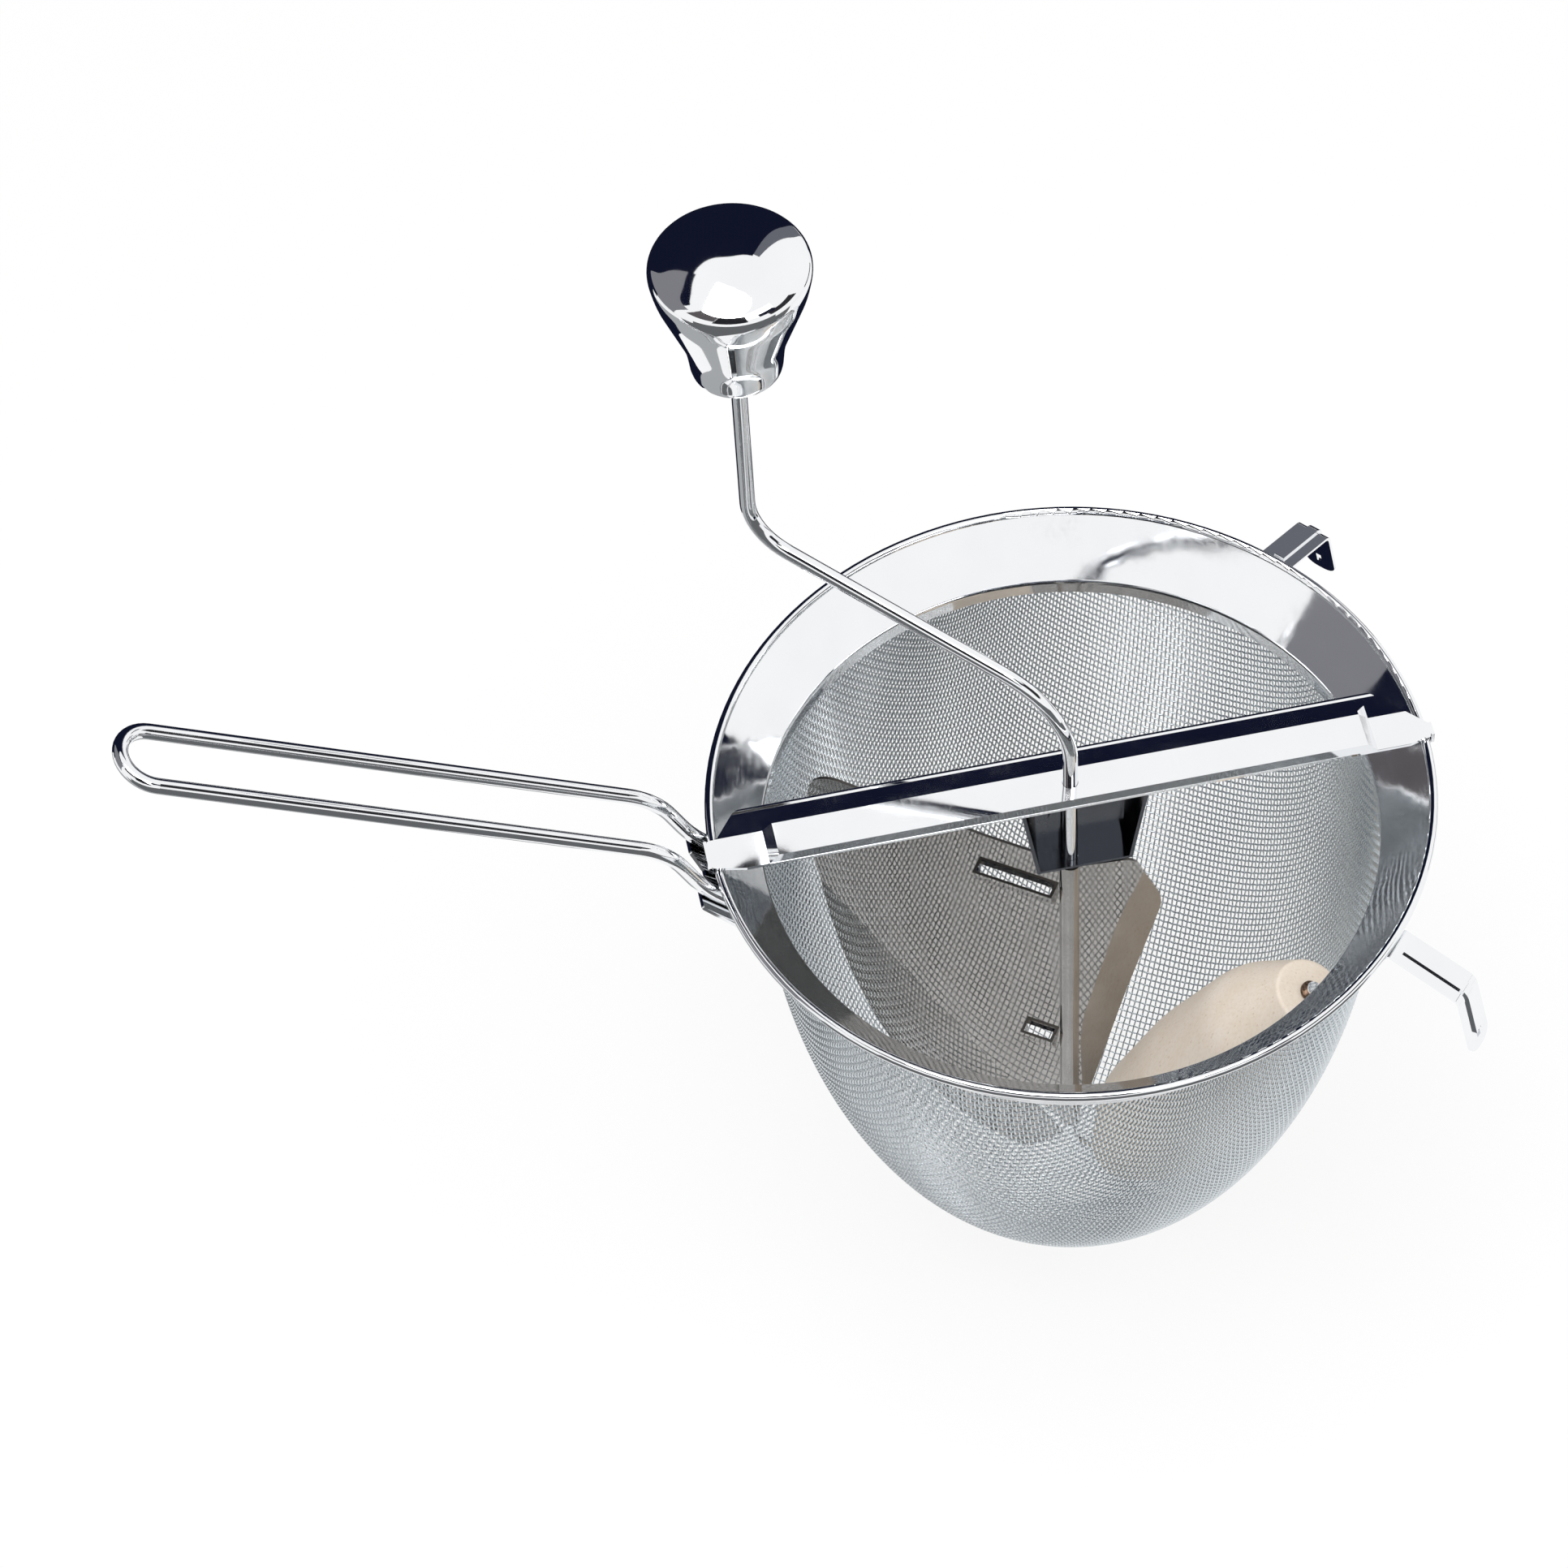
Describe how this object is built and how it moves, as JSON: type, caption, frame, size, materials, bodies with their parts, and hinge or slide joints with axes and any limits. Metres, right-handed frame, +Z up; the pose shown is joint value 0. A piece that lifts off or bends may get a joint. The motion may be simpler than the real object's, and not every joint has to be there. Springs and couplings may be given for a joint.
{
  "type": "tomato strainer with crank",
  "caption": "Deep woven-wire strainer bowl with a flared steel rim, loop handle, pan hooks and a lift-out bridge whose crank turns a scraper paddle and a wooden roller.",
  "frame": {"origin": "on the crank's axis, in the plane of the rim's rolled bead, where the strainer sits level with a pot's rim", "axes": "+Z up the crank's axis; +X along the bridge towards the two pan hooks, so that the handle points to -X"},
  "size_m": [0.3519, 0.2, 0.3702],
  "materials": {
    "chrome": "bright polished plate over sheet and wire",
    "steel": "plain bright steel",
    "mesh": "tinned woven wire, square mesh",
    "knob": "bright plated thin shell",
    "bush": "plain moulded",
    "blade": "bright rolled sheet, lightly scuffed",
    "wood": "turned beech, unvarnished",
    "cap": "dull, stained"
  },
  "bodies": {
    "bowl": {"rim_band": "chrome", "mesh_bowl": "mesh", "mesh_clamp_ring": "steel", "handle_loop": "chrome", "handle_plate": "steel", "hook_front": "chrome", "hook_back": "chrome"},
    "bridge": {"bridge_bar": "chrome", "guide_bracket": "steel"},
    "crank": {"crank_rod": "chrome", "paddle_blade": "blade", "knob_retainer": "steel", "roller_end_cap": "cap", "roller_stop": "steel"},
    "knob": {"knob_shell": "knob", "knob_bush": "bush"},
    "roller": {"wooden_roller": "wood"}
  },
  "joints": [
    {"name": "bridge_lift", "type": "slide", "parent": "bowl", "child": "bridge", "axis": [0, 0, 1], "range_m": [0, 0.2]},
    {"name": "crank_spin", "type": "hinge", "parent": "bridge", "child": "crank", "pos_m": [0, 0, 0], "axis": [0, 0, 1], "continuous": true},
    {"name": "knob_spin", "type": "hinge", "parent": "crank", "child": "knob", "pos_m": [-0.07553, 0.05288, 0.14], "axis": [0, 0, 1], "continuous": true},
    {"name": "roller_spin", "type": "hinge", "parent": "crank", "child": "roller", "pos_m": [0.05868, -0.04109, -0.0575], "axis": [0.358, -0.2507, 0.8995], "continuous": true}
  ],
  "couplings": [
    {"joint": "roller_spin", "follows": "crank_spin", "ratio": -3.05}
  ]
}
